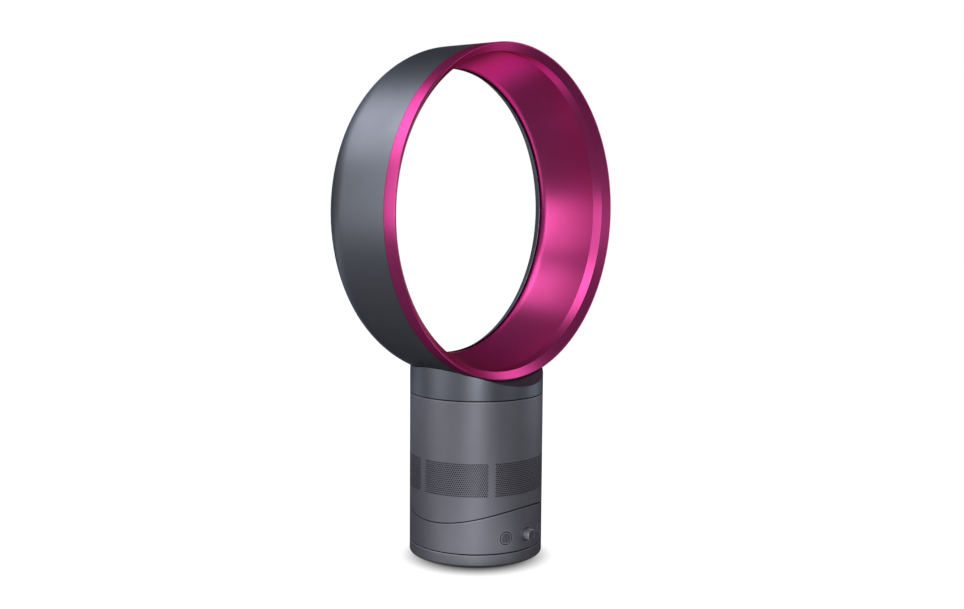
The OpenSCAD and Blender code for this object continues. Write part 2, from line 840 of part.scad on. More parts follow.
module body_casing() {
  color("#7d7d86") difference() {
    union() {
      casing_tube(table_z, body_top, 0, edge_c);
      tube(base_r - wall / 2, ledge_w, ledge_z, ledge_z + ledge_t);
    }
    difference() {
      translate([0, 0, table_z - over])
        cylinder(r = base_r + over, h = win_z[0] - table_z, $fn = smooth);
      tilt_drum(slide_r);
    }
    for (p = rib_pairs)
      sector(base_r + over, wall + 2 * over, win_z[0], win_z[1], p[0] + rib_half, p[1] - rib_half);
  }
}

// Perforated panels between the ribs, flush with the casing
module intake_grille() {
  step = hole_pitch / base_r * half_turn / PI;
  rows = floor((grille_h - hole_d) / row_pitch) + 1;
  color("#7d7d86") for (p = rib_pairs)
    let (a0 = p[0] + rib_half, a1 = p[1] - rib_half, n = floor((a1 - a0) / step - 0.5))
      difference() {
        sector(base_r, wall, win_z[0], win_z[1], a0, a1);
        for (i = [0:rows - 1], j = [0:n - 1])
          spoke((a0 + a1) / 2 + (j - (n - 1) / 2 + (i % 2) / 2 - 1 / 4) * step,
                grille_z + (i - (rows - 1) / 2) * row_pitch,
                hole_d / 2, base_r - wall - over, base_r + over);
      }
}

// Round bottom of the tilting body
module body_floor() {
  color("#6e6e78") difference() {
    intersection() {
      translate([0, 0, table_z])
        cylinder(r = base_r - wall - fit, h = tilt_z / 2, $fn = smooth);
      tilt_drum(slide_r);
    }
    tilt_drum(slide_r - slide_t);
    keeper_holes();
  }
}

keeper_screw_len = 9;

// Screws through the keeper into the body's floor, on the curved slide's own radius
module keeper_holes() {
  for (x = [-1, 1])
    translate([x * keeper_w / 4, 0, tilt_z - tilt_r - slide_t - air - keeper_t])
      screw_hole(0, keeper_screw_len, true);
}

// Keeper that hooks under the cradle and holds the two bodies together
module tilt_keeper() {
  color("#b8bcc0") difference() {
    union() {
      intersection() {
        translate([-keeper_w / 2, -keeper_l / 2, table_z])
          cube([keeper_w, keeper_l, tilt_z / 2]);
        difference() {
          tilt_drum(tilt_r + slide_t + air + keeper_t / 2);
          tilt_drum(slide_r + fit);
        }
      }
      intersection() {
        translate([-keeper_plate_w / 2, -keeper_plate_l / 2, table_z])
          cube([keeper_plate_w, keeper_plate_l, tilt_z / 2]);
        difference() {
          tilt_drum(tilt_r + slide_t + air + keeper_t);
          tilt_drum(tilt_r + slide_t + air);
        }
      }
    }
    keeper_holes();
  }
}

module keeper_screws() {
  color("#b8bcc0") for (x = [-1, 1])
    translate([x * keeper_w / 4, 0, tilt_z - tilt_r - slide_t - air - keeper_t])
      screw(0, keeper_screw_len, true);
}

foam_h = 24.9;                     // height of the foam over the seam's lowest point
foam_top = seam_low + foam_h;

module acoustic_foam() {
  color("#44464c") difference() {
    translate([0, 0, table_z])
      cylinder(r = base_r - wall - 2 * fit, h = foam_top - table_z, $fn = smooth);
    difference() {
      translate([0, 0, table_z - over])
        cylinder(r = base_r, h = foam_top - table_z + 2 * over, $fn = smooth);
      tilt_drum(slide_r - slide_t - fit);
    }
    for (x = [-1, 1])
      translate([x * keeper_w / 4, 0, table_z])
        cylinder(r = screw_head_r, h = foam_top / 2, $fn = round_n);
  }
}

// Blower, from its inlet up
inlet_over = 10;                   // blower's inlet above the foam
inlet_z = foam_top + inlet_over;
inlet_len = 4;
outlet_r = base_r - wall - outlet_gap;
inlet_r = outlet_r - inlet_in;
impeller_z = inlet_z + inlet_len;
shroud_t = 2;
tip_gap = 0.5;                     // running gap between blades and shroud
hub_r0 = 12;
outlet_w = 15;                     // width of the outlet between the hub and the shroud
hub_r1 = outlet_r - outlet_w;
blade_t = 1.4;
blade_wrap = 70;                   // how far a blade turns about the axis
blade_n = 10;                      // steps along a blade
bucket_over = 1;                   // bucket's radius beyond the hub's
bucket_r = hub_r1 + bucket_over;
bucket_t = 2;
hub_rim = 0.6;                     // rim of the hub above and below the blades
hub_n = 7;                         // steps along the hub, never at the same heights as a blade's
blade_sink = 2;                    // depth of a blade's root in the hub
bucket_gap = 2;
bucket_z = impeller_z + impeller_h + bucket_gap;
vane_h = 24;
vane_in = 2;                       // start of the vane ring above the bucket's bottom
vane_lap = 1;
vane_n = 4;
vane_wrap = 26;
flange_r = base_r - wall - 2 * fit;
gasket_t = 1.4;
gasket_w = 5;

// Radius of the shroud at a share s of the impeller's height
function shroud_at(s) = inlet_r + (outlet_r - inlet_r) * sin(90 * s) + tip_gap;
function hub_at(s) = hub_r0 + (hub_r1 - hub_r0) * (1 - cos(90 * s));

module impeller_shroud() {
  inside = [for (i = [0:blade_n]) let (s = i / blade_n) [shroud_at(s), impeller_z + s * impeller_h]];
  outside = [for (i = [blade_n:-1:0]) let (s = i / blade_n)
               [shroud_at(s) + shroud_t, impeller_z + s * impeller_h]];
  mouth = inlet_r + tip_gap;
  bell = 4;
  wide = outlet_r + tip_gap;
  seat = ledge_z + ledge_t + gasket_t;
  color("#9a9da6") rotate_extrude($fn = smooth)
    polygon(concat(
      [[mouth + bell + shroud_t, inlet_z], [mouth + bell, inlet_z]],
      inside,
      [[wide, seat + shroud_t], [flange_r, seat + shroud_t], [flange_r, seat], [wide + shroud_t, seat]],
      outside));
}

// Rubber ring that the blower stands on
module mount_gasket() {
  color("#202024") tube(flange_r, gasket_w, ledge_z + ledge_t, ledge_z + ledge_t + gasket_t);
}

// Curved blade between an inner and an outer radius at each step; root sinks into what carries it
module blade(inner, outer, z0, h, wrap, n) {
  function at(r, s, side) =
    let (a = wrap * s * (2 - s) + side * blade_t / 2 / r * half_turn / PI)
    [r * cos(a), r * sin(a), z0 + h * s];
  pts = [for (i = [0:n]) let (s = i / n)
           each [at(inner(s), s, -1), at(outer(s), s, -1), at(outer(s), s, 1), at(inner(s), s, 1)]];
  sides = [for (i = [0:n - 1], k = [0:3]) let (p = 4 * i + k, q = 4 * i + (k + 1) % 4)
             each [[p, p + 4, q], [q, p + 4, q + 4]]];
  ends = [[0, 1, 2], [0, 2, 3], [4 * n, 4 * n + 2, 4 * n + 1], [4 * n, 4 * n + 3, 4 * n + 2]];
  polyhedron(pts, concat(sides, ends), convexity = 4);
}

module impeller() {
  foot_t = 3;
  z0 = impeller_z - hub_rim;
  z1 = impeller_z + impeller_h + hub_rim;
  hub = [for (i = [0:hub_n]) [hub_at(i / hub_n), z0 + (z1 - z0) * i / hub_n]];
  color("#d8d6cc") difference() {
    union() {
      rotate_extrude($fn = smooth)
        polygon(concat([[0, z0 - foot_t], [hub_r0 - foot_t, z0 - foot_t]], hub, [[0, z1]]));
      for (i = [0:blades - 1])
        rotate([0, 0, i * full / blades])
          blade(function (s) hub_at(s) - blade_sink, function (s) shroud_at(s) - tip_gap,
                impeller_z, impeller_h, blade_wrap, blade_n);
    }
    translate([0, 0, z0 - foot_t - over])
      cylinder(r = spindle_r + fit / 2, h = z1 - z0 + foot_t + 2 * over, $fn = round_n);
  }
}

// Motor and its bucket
spindle_r = 3;
bearing_r = 8;
bearing_t = 6;
motor_stand = 2;
motor_z = bucket_z + bucket_t + motor_stand;
cap_h = 10;
can_t = 2;
rotor_r = 15;

module vane_ring() {
  sink = 0.5;
  color("#9a9da6") union() {
    tube(bucket_r + bucket_t + fit, bucket_t, bucket_z + vane_in, bucket_z + vane_in + vane_h);
    for (i = [0:vanes - 1])
      rotate([0, 0, i * full / vanes])
        blade(function (s) bucket_r + bucket_t - sink, function (s) outlet_r + tip_gap - fit,
              bucket_z + vane_in + vane_lap, vane_h - 3 * vane_lap, -vane_wrap, vane_n);
  }
}

module motor_bucket() {
  top = motor_z + motor_h;
  color("#9a9da6") difference() {
    rotate_extrude($fn = smooth)
      polygon([[spindle_r + over, bucket_z], [bucket_r, bucket_z], [bucket_r, top + bucket_t],
               [bucket_r / 2, top + cap_h], [0, top + cap_h], [0, top + cap_h - bucket_t],
               [bucket_r / 2 - bucket_t / 2, top + cap_h - bucket_t], [bucket_r - bucket_t, top],
               [bucket_r - bucket_t, motor_z - fit], [spindle_r + over, motor_z - fit]]);
    for (i = [0:2])
      rotate([0, 0, i * full / 3])
        translate([bucket_r - bucket_t - over, 0, top - 2 * bearing_t])
          rotate([0, 90, 0])
            cylinder(r = screw_r, h = bucket_t + 2 * over, $fn = round_n);
  }
}

module motor_stator() {
  color("#b8bcc0") difference() {
    union() {
      tube(motor_r, motor_r - rotor_r - air, motor_z, motor_z + motor_h);
      for (z = [motor_z, motor_z + motor_h - can_t])
        translate([0, 0, z])
          cylinder(r = motor_r, h = can_t, $fn = smooth);
      tube(bucket_r - bucket_t - fit, bucket_r - bucket_t - motor_r + over, motor_z, motor_z + can_t);
    }
    translate([0, 0, motor_z - over])
      cylinder(r = bearing_r, h = motor_h + 2 * over, $fn = round_n);
  }
}

module motor_bearings() {
  color("#c9ccd0") for (z = [motor_z, motor_z + motor_h - bearing_t])
    translate([0, 0, z])
      difference() {
        cylinder(r = bearing_r, h = bearing_t, $fn = round_n);
        translate([0, 0, -over])
          cylinder(r = spindle_r + run, h = bearing_t + 2 * over, $fn = round_n);
      }
}

module motor_rotor() {
  z0 = motor_z + bearing_t + air;
  z1 = motor_z + motor_h - bearing_t - air;
  tail = 2;
  color("#8a8d92") union() {
    translate([0, 0, impeller_z])
      cylinder(r = spindle_r, h = motor_z + motor_h + tail - impeller_z, $fn = round_n);
    translate([0, 0, z0])
      cylinder(r = rotor_r, h = z1 - z0, $fn = smooth);
  }
}

foot_base();
rubber_mat();
oscillation_gear();
gear_screws();
glide_ring();
cable_grommet();
turntable_plate();
retaining_clip();
lower_casing();
casing_screws();
cradle_plate();
oscillation_motor();
motor_screws();
main_board();
control_board();
tact_switches();
speed_potentiometer();
drive_pinion();
power_button();
oscillation_button();
speed_dial();
body_casing();
intake_grille();
body_floor();
tilt_keeper();
keeper_screws();
acoustic_foam();
mount_gasket();
impeller_shroud();
vane_ring();
motor_bucket();
motor_stator();
motor_bearings();
motor_rotor();
impeller();
neck_seal();
nozzle_collar();
nozzle_shell();
nozzle_inner_ring();
front_seal();
slot_spacers();
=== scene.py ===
"""Looks of a desk fan with an open ring nozzle: finishes, the fine grille and the light it stands in.

Metres, +Z up, front at -Y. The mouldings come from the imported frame. The perforated panels are made here.
"""

import json
import math

import bmesh
import bpy
import numpy as np
from mathutils import Matrix, Vector


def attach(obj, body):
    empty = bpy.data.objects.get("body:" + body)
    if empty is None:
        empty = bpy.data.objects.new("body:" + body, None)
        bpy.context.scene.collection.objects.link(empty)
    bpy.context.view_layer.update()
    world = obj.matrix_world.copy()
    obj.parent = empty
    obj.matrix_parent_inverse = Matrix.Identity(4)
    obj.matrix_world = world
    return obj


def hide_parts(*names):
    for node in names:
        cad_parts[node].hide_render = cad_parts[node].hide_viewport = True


MM = 0.001
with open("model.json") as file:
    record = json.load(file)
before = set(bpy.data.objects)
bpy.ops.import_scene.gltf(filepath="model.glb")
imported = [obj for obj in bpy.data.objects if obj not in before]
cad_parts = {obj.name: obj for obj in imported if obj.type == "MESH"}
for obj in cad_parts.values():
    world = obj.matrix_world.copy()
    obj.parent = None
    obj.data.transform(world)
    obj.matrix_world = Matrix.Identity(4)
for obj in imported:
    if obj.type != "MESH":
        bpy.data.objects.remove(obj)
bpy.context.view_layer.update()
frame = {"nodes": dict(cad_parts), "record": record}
nodes = frame["nodes"]


# Sizes shared with the source, in millimetres

BASE_R = 72.3
WALL = 2.4
FOOT_TOP, BODY_TOP = 14.3, 176.2
CONTROL_Z, BUTTON_AT, BUTTON_R, BUTTON_GAP = 30.2, 22.6, 6.2, 0.4
TILT_Z, TILT_R = 222.6, 177.5
GRILLE_Z, GRILLE_H = 93.0, 36.0
RIBS = (35.3, 99.3, 180.0)
RIB_W = 5.3


# Camera, where the photograph was taken from

AZIMUTH, ELEVATION, ROLL = -49.17, 5.38, 0.455
CAMERA_AT = (-1.01519, -0.88417, 0.39715)
FOCAL_PX, WIDTH_PX, SENSOR = 1248.87, 964.0, 36.0


def aim(azimuth, elevation, roll):
    """World matrix of a camera that looks back at the object. Its back axis is (sin a cos e, -cos a cos e, sin e)."""
    a, e, r = map(math.radians, (azimuth, elevation, roll))
    back = Vector((math.sin(a) * math.cos(e), -math.cos(a) * math.cos(e), math.sin(e)))
    right = Vector((0, 0, 1)).cross(back).normalized()
    up = back.cross(right)
    turned = right * math.cos(r) + up * math.sin(r), up * math.cos(r) - right * math.sin(r)
    return Matrix((turned[0], turned[1], back)).transposed().to_4x4()


camera_data = bpy.data.cameras.new("camera")
camera_data.sensor_width = SENSOR
camera_data.lens = SENSOR * FOCAL_PX / WIDTH_PX
camera_data.dof.use_dof = False
camera_data.clip_start, camera_data.clip_end = 0.05, 50.0
camera = bpy.data.objects.new("camera", camera_data)
bpy.context.scene.collection.objects.link(camera)
camera.matrix_world = Matrix.Translation(CAMERA_AT) @ aim(AZIMUTH, ELEVATION, ROLL)
bpy.context.scene.camera = camera


# Shader maths


class Wire:
    """A socket that Python's operators turn into Math nodes."""

    def __init__(self, shade, socket):
        self.shade, self.socket = shade, socket

    def _math(self, operation, *others):
        node = self.shade.add("ShaderNodeMath", operation=operation)
        for slot, value in enumerate((self,) + others):
            self.shade.feed(node.inputs[slot], value)
        return Wire(self.shade, node.outputs[0])

    def __add__(self, other):
        return self._math("ADD", other)

    __radd__ = __add__

    def __mul__(self, other):
        return self._math("MULTIPLY", other)

    __rmul__ = __mul__

    def __sub__(self, other):
        return self._math("SUBTRACT", other)

    def __rsub__(self, other):
        return self._math("MULTIPLY", -1.0)._math("ADD", other)

    def abs(self):
        return self._math("ABSOLUTE")

    def root(self):
        return self._math("SQRT")

    def most(self, other):
        return self._math("MAXIMUM", other)

    def least(self, other):
        return self._math("MINIMUM", other)

    def nearer(self, other):
        """Of two signed distances, the one nearer to 0."""
        first = self.abs()._math("LESS_THAN", other.abs())
        return self * first + other * (1.0 - first)

    def above(self, other):
        return self._math("GREATER_THAN", other)

    def between(self, low, high):
        """Ramp from 0 at low to 1 at high, smooth at both ends."""
        node = self.shade.add("ShaderNodeMapRange", interpolation_type="SMOOTHSTEP")
        for name, value in (("Value", self), ("From Min", low), ("From Max", high)):
            self.shade.feed(node.inputs[name], value)
        return Wire(self.shade, node.outputs["Result"])


class Shade:
    """One material, or the world's, and the few ways that its nodes are made."""

    def __init__(self, name, tree=None, output="ShaderNodeOutputMaterial"):
        if tree is None:
            self.material = bpy.data.materials.new(name)
            self.material.use_nodes = True
            tree = self.material.node_tree
        self.tree = tree
        self.tree.nodes.clear()
        self.output = self.tree.nodes.new(output)

    def add(self, kind, **settings):
        node = self.tree.nodes.new(kind)
        for name, value in settings.items():
            setattr(node, name, value)
        return node

    def feed(self, socket, value):
        if isinstance(value, Wire):
            self.tree.links.new(value.socket, socket)
        elif value is not None:
            socket.default_value = value

    def make(self, kind, slots=None, out=0, settings=None, **values):
        """A node of any kind: its settings first, then its sockets by number in slots, or by name."""
        node = self.add(kind, **(settings or {}))
        for number, value in (slots or {}).items():
            self.feed(node.inputs[number], value)
        for name, value in values.items():
            self.feed(node.inputs[name.replace("_", " ")], value)
        return Wire(self, node.outputs[out])

    def show(self, surface):
        self.tree.links.new(surface.socket, self.output.inputs["Surface"])

    def place(self):
        """Object coordinates, in metres."""
        return self.make("ShaderNodeTexCoord", out="Object")

    def split(self, vector):
        node = self.add("ShaderNodeSeparateXYZ")
        self.feed(node.inputs[0], vector)
        return [Wire(self, node.outputs[axis]) for axis in range(3)]

    def grain(self, scale, detail=3.0, rough=0.55, where=None):
        """Noise with about `scale` grains a metre."""
        return self.make("ShaderNodeTexNoise", out="Fac", Vector=where or self.place(), Scale=scale, Detail=detail,
                         Roughness=rough)

    def mix(self, share, first, second):
        """Colour between two, by share."""
        node = self.add("ShaderNodeMix", data_type="RGBA")
        self.feed(node.inputs[0], share)
        self.feed(node.inputs[6], first)
        self.feed(node.inputs[7], second)
        return Wire(self, node.outputs[2])

    def bump(self, height, depth, strength=1.0):
        return self.make("ShaderNodeBump", Height=height, Distance=depth, Strength=strength)

    def finish(self, **values):
        """Principled surface with these sockets, wired to the output."""
        self.show(self.make("ShaderNodeBsdfPrincipled", **values))
        return self.material


def rgb(r, g, b):
    """Linear colour of an sRGB one given in 0 to 255."""
    c = np.array([r, g, b]) / 255.0
    linear = np.where(c <= 0.04045, c / 12.92, ((c + 0.055) / 1.055) ** 2.4)
    return (*linear.tolist(), 1.0)


# Finishes

SHADE_HALF = 0.8                    # half width of the painted shade along a seam
HIGHLIGHT_HALF, HIGHLIGHT_AT = 0.6, 1.3       # half width of the painted highlight line, and how far it lies from the seam
TILT_TOP = 120.0                    # the tilt seam lies under this height
# colours of the painted seam shade, of the painted seam highlight, and of the painted highlight on the controls' rims
SHADE_TONE, SEAM_HIGHLIGHT_TONE, RIM_HIGHLIGHT_TONE = rgb(18, 18, 20), rgb(188, 188, 198), rgb(168, 168, 178)


def from_control(x, y, z):
    """Distance from the axis of the nearest button or the dial, which runs level from the fan's centre to the front.
    Behind the centre it is a metre more."""
    rise, behind = z - CONTROL_Z * MM, y.above(0.0)
    gaps = []
    for turn in (-BUTTON_AT, 0.0, BUTTON_AT):
        aside = x * math.cos(math.radians(turn)) + y * math.sin(math.radians(turn))
        gaps.append((aside * aside + rise * rise).root() + behind)
    return gaps[0].least(gaps[1]).least(gaps[2])


def seam_lines(s):
    """Where the casings' seams lie, as two masks: painted shade in the gap, and a painted highlight beside it.

    The seams are the foot's top, the body's top, the round gaps of the controls, and the tilt seam, whose points lie
    TILT_R from the tilt axis. Over TILT_TOP that distance is a metre off, so that it meets no other piece.
    """
    x, y, z = s.split(s.place())
    rise = z - TILT_Z * MM
    curve = TILT_R * MM - (y * y + rise * rise).root() + z.above(TILT_TOP * MM)
    gap = (z - FOOT_TOP * MM).nearer(z - BODY_TOP * MM).nearer(curve)
    gap = gap.nearer((BUTTON_R + BUTTON_GAP) * MM - from_control(x, y, z))
    return (gap.abs().between(SHADE_HALF * MM, SHADE_HALF / 2 * MM),
            (gap + HIGHLIGHT_AT * MM).abs().between(HIGHLIGHT_HALF * MM, HIGHLIGHT_HALF / 3 * MM))


def paint(name, colour, dark, edge, metal, rough, flake=0.02, seams=False):
    """Sprayed metallic finish: fine flakes vary the tone, a faint orange peel bends the light, and edge tints it
    where it is seen at a low angle."""
    s = Shade(name)
    flakes = s.grain(2600.0, 2.0).between(0.35, 0.75)
    cloud = s.grain(16.0, 3.0).between(0.3, 0.7)
    tone = s.mix(flakes * 0.5 + cloud * 0.25, colour, dark)
    # With seams, painted shade darkens the seams' gaps, and a painted highlight lightens a line beside each.
    if seams:
        shaded, highlit = seam_lines(s)
        tone = s.mix(shaded * 0.9, s.mix(highlit * 0.5, tone, SEAM_HIGHLIGHT_TONE), SHADE_TONE)
    peel = s.grain(1500.0, 2.0)
    return s.finish(Base_Color=tone, Metallic=metal, Roughness=cloud * 0.04 + flakes * 0.03 + rough,
                    Normal=s.bump(peel, flake * MM), Specular_Tint=edge)


def moulded(name, colour, dark, rough, depth=0.02, scale=900.0):
    """Moulded plastic or rubber with a spark-eroded grain."""
    s = Shade(name)
    fine = s.grain(scale, 4.0)
    cloud = s.grain(40.0, 2.0).between(0.3, 0.7)
    return s.finish(Base_Color=s.mix(fine * 0.6 + cloud * 0.4, colour, dark), Roughness=cloud * 0.08 + rough,
                    Normal=s.bump(fine, depth * MM))


def plated(name, colour, dark, rough):
    """Turned or rolled metal: noise stretched into fine lines."""
    s = Shade(name)
    x, y, z = s.split(s.place())
    stretched = s.make("ShaderNodeCombineXYZ", X=x * 0.08, Y=y * 0.08, Z=z)
    lines = s.grain(2400.0, 3.0, where=stretched)
    return s.finish(Base_Color=s.mix(lines, colour, dark), Metallic=1.0, Roughness=lines * 0.12 + rough,
                    Normal=s.bump(lines, 0.01 * MM))


def board_lacquer():
    """Green lacquer with copper tracks that show through as lighter bands."""
    s = Shade("board_lacquer")
    tracks = s.make("ShaderNodeTexWave", out="Fac", Vector=s.place(), Scale=160.0, Distortion=9.0, Detail=2.0)
    fine = s.grain(700.0)
    colour = s.mix(tracks.between(0.55, 0.75) * 0.6, rgb(28, 84, 52), rgb(58, 122, 78))
    return s.finish(Base_Color=colour, Roughness=fine * 0.1 + 0.3, Normal=s.bump(tracks, 0.03 * MM))


def open_foam():
    """Open-cell foam: cells as pits, darker towards their floors as painted shade."""
    s = Shade("open_foam")
    cells = s.make("ShaderNodeTexVoronoi", out="Distance", Vector=s.place(), Scale=700.0)
    # darker at the pits' floors: painted shade
    return s.finish(Base_Color=s.mix(cells, rgb(30, 30, 33), rgb(84, 84, 90)), Roughness=0.95,
                    Normal=s.bump(cells, 0.4 * MM))


def control_face():
    """Moulded control with a fine grain on its face and a lighter rim, a painted highlight, which is also a little
    glossier.
    """
    s = Shade("control_plastic")
    x, y, z = s.split(s.place())
    fine = s.grain(1400.0, 4.0)
    # rim: mask of the painted highlight round each control's face
    rim = from_control(x, y, z).between((BUTTON_R - 1.1) * MM, (BUTTON_R - 0.5) * MM)
    face = s.mix(fine.between(0.35, 0.65), rgb(132, 132, 142), rgb(84, 84, 92))
    return s.finish(Base_Color=s.mix(rim, face, RIM_HIGHLIGHT_TONE), Metallic=0.6, Roughness=0.5 - rim * 0.12,
                    Normal=s.bump(fine, 0.05 * MM))


casing = paint("casing_paint", rgb(149, 149, 161), rgb(136, 136, 147), rgb(96, 96, 106), 0.9, 0.46, seams=True)
nozzle = paint("nozzle_paint", rgb(133, 137, 148), rgb(121, 124, 135), rgb(110, 115, 124), 0.9, 0.36, seams=True)
magenta = paint("magenta_paint", rgb(220, 80, 155), rgb(207, 66, 140), rgb(165, 34, 98), 0.87, 0.27)
control = control_face()
rubber = moulded("black_rubber", rgb(34, 34, 36), rgb(22, 22, 24), 0.72)
# This dark finish also goes on the grille's hole walls and back, as painted shade in the holes.
inner_and_hole_shade = moulded("inner_plastic", rgb(38, 38, 41), rgb(27, 27, 30), 0.55)
white = moulded("white_acetal", rgb(232, 230, 220), rgb(214, 211, 200), 0.4)
steel = plated("plated_steel", rgb(186, 188, 192), rgb(150, 152, 158), 0.28)
FINISH = {"casing_grey": casing, "nozzle_grey": nozzle, "nozzle_magenta": magenta, "control_grey": control,
          "black_rubber": rubber, "inner_plastic": inner_and_hole_shade, "white_plastic": white, "steel": steel,
          "board_green": board_lacquer(), "foam": open_foam()}

for part in frame["record"]["subparts"]:
    mesh = nodes[part["node"]].data
    mesh.materials.clear()
    mesh.materials.append(FINISH[part["material_slot"]])


def body_piece(mesh, node):
    """Object of this mesh that rides on the fan's body, takes its finish from the slot, and stands for the node."""
    piece = bpy.data.objects.new(mesh.name, mesh)
    bpy.context.scene.collection.objects.link(piece)
    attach(piece, "fan_body")
    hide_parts(node)


# Ring mouldings

TOUCH = 0.001                       # points nearer than this are one


def merged(name, node, slot, crease):
    """Copy of a ring moulding with its loose triangles joined, so that its shading runs on across the split at the
    ring's axis. Edges that turn by more than `crease` degrees stay sharp."""
    joined, loose = bmesh.new(), bpy.data.meshes.new(f"{name}_loose")
    joined.from_mesh(nodes[node].data)
    bmesh.ops.remove_doubles(joined, verts=joined.verts, dist=TOUCH * MM)
    joined.to_mesh(loose)
    joined.free()
    points = np.empty(len(loose.vertices) * 3)
    loose.vertices.foreach_get("co", points)
    corners = np.empty(len(loose.loops), int)
    loose.loops.foreach_get("vertex_index", corners)
    bpy.data.meshes.remove(loose)
    mesh = bpy.data.meshes.new(name)
    mesh.from_pydata(points.reshape(-1, 3).tolist(), [], corners.reshape(-1, 3).tolist())
    mesh.shade_smooth()
    mesh.set_sharp_from_angle(angle=math.radians(crease))
    mesh.materials.append(FINISH[slot])
    body_piece(mesh, node)


merged("ring_lining", "nozzle_inner_ring", "nozzle_magenta", 10.0)
merged("ring_shell", "nozzle_shell", "nozzle_grey", 22.0)


# Perforated panels

HOLE_D, HOLE_PITCH, ROW_PITCH, ROWS = 1.6, 2.2, 2.1, 17
SIDES = 8


def ring_cells(centre, half_w, half_h, radius):
    """Plate round each hole, as [points, quads].

    Point k of the hole is centre + radius (cos, sin) of k / 8 turn, and point k of the cell's edge is centre plus
    the signs of the same cos and sin times the half sizes. Front and back carry both rings, and quads join them.
    """
    turn = np.arange(SIDES) * 2 * np.pi / SIDES
    round_ = np.stack([np.cos(turn), np.sin(turn)], 1)
    rings = np.concatenate([np.sign(np.round(round_, 6)) * (half_w, half_h), round_ * radius])
    flat = centre[:, None, :] + rings
    points = np.concatenate([np.dstack([flat, np.full(flat.shape[:2], depth)]) for depth in (0.0, WALL)], 1)
    k = np.arange(SIDES)
    after, n = (k + 1) % SIDES, SIDES
    quads = np.concatenate([np.stack([k, after, after + n, k + n], 1),
                            np.stack([k + n, after + n, after + 3 * n, k + 3 * n], 1),
                            np.stack([k + 3 * n, after + 3 * n, after + 2 * n, k + 2 * n], 1)])
    index = np.arange(len(centre))[:, None, None] * 4 * n + quads
    return points.reshape(-1, 3), index.reshape(-1, 4)


def bars(x0, x1, z0, z1, steps):
    """Closed plain bars, as [points, quads]: a bar's four long edges run through `steps` + 1 stations from x0 to x1."""
    x0, x1, z0, z1 = np.broadcast_arrays(*[np.atleast_1d(np.asarray(v, float)) for v in (x0, x1, z0, z1)])
    share = np.linspace(0, 1, steps + 1)
    x = x0[:, None] + (x1 - x0)[:, None] * share
    low, high = (np.broadcast_to(z[:, None], x.shape) for z in (z0, z1))
    zero, deep = np.zeros(x.shape), np.full(x.shape, WALL)
    loop = np.stack([np.stack([x, low, zero], 2), np.stack([x, high, zero], 2),
                     np.stack([x, high, deep], 2), np.stack([x, low, deep], 2)], 2)
    i, j = np.meshgrid(np.arange(steps), np.arange(4), indexing="ij")
    here, over = (i * 4 + j).ravel(), (i * 4 + (j + 1) % 4).ravel()
    quads = np.concatenate([np.stack([here, here + 4, over + 4, over], 1),
                            [[0, 1, 2, 3]], [[4 * steps + 3, 4 * steps + 2, 4 * steps + 1, 4 * steps]]])
    index = np.arange(len(x0))[:, None, None] * 4 * (steps + 1) + quads
    return loop.reshape(-1, 3), index.reshape(-1, 4)


def hole_shade_faces(quads, flat):
    """1 for faces that take the dark inner finish as painted shade in the holes: those with a corner deeper than the
    front.
    """
    return flat[quads, 2].max(axis=1) > 0


def panel(name, a0, a1):
    """Curved panel of small holes between two angles from the front.

    It is laid out flat as [distance along the arc, height, depth] and then bent: angle = distance / radius.
    Alternate rows are shifted by half a pitch. Plain bars fill what the cells leave at the four edges.
    """
    arc = math.radians(a1 - a0) * BASE_R
    count = int(arc // HOLE_PITCH) - 1
    rows = np.arange(ROWS)
    low = (rows - ROWS / 2) * ROW_PITCH
    shift = np.where(rows % 2 == 0, -HOLE_PITCH / 4, HOLE_PITCH / 4)
    x = (np.arange(count) - (count - 1) / 2)[None, :] * HOLE_PITCH + shift[:, None]
    z = np.broadcast_to((low + ROW_PITCH / 2)[:, None], x.shape)
    edge, reach, half = GRILLE_H / 2, ROWS * ROW_PITCH / 2, count * HOLE_PITCH / 2
    steps = max(8, int(arc / 3))
    parts = [ring_cells(np.stack([x.ravel(), z.ravel()], 1), HOLE_PITCH / 2, ROW_PITCH / 2, HOLE_D / 2),
             bars(-arc / 2, shift - half, low, low + ROW_PITCH, 1),
             bars(shift + half, arc / 2, low, low + ROW_PITCH, 1),
             bars(-arc / 2, arc / 2, [-edge, reach], [-reach, edge], steps)]
    starts = np.cumsum([0] + [len(points) for points, quads in parts])
    flat = np.concatenate([points for points, quads in parts])
    quads = np.concatenate([quads + start for (points, quads), start in zip(parts, starts)])
    angle = math.radians((a0 + a1) / 2) + flat[:, 0] / BASE_R
    radius = BASE_R - flat[:, 2]
    co = np.stack([radius * np.sin(angle), -radius * np.cos(angle), GRILLE_Z + flat[:, 1]], 1) * MM
    mesh = bpy.data.meshes.new(name)
    mesh.from_pydata(co.tolist(), [], quads.tolist())
    # Hole walls and the back take the dark inner finish: painted shade in the holes.
    mesh.materials.append(casing)
    mesh.materials.append(inner_and_hole_shade)
    mesh.polygons.foreach_set("material_index", hole_shade_faces(quads, flat).astype(np.int32))
    body_piece(mesh, "intake_grille")


half_rib = math.degrees(RIB_W / 2 / BASE_R)
spans = [(-RIBS[0], RIBS[0]), (RIBS[0], RIBS[1]), (RIBS[1], RIBS[2]), (-RIBS[1], -RIBS[0]), (-RIBS[2], -RIBS[1])]
for number, (start, end) in enumerate(spans, 1):
    panel(f"grille_panel_{number}", start + half_rib, end - half_rib)


# Floor, background and light

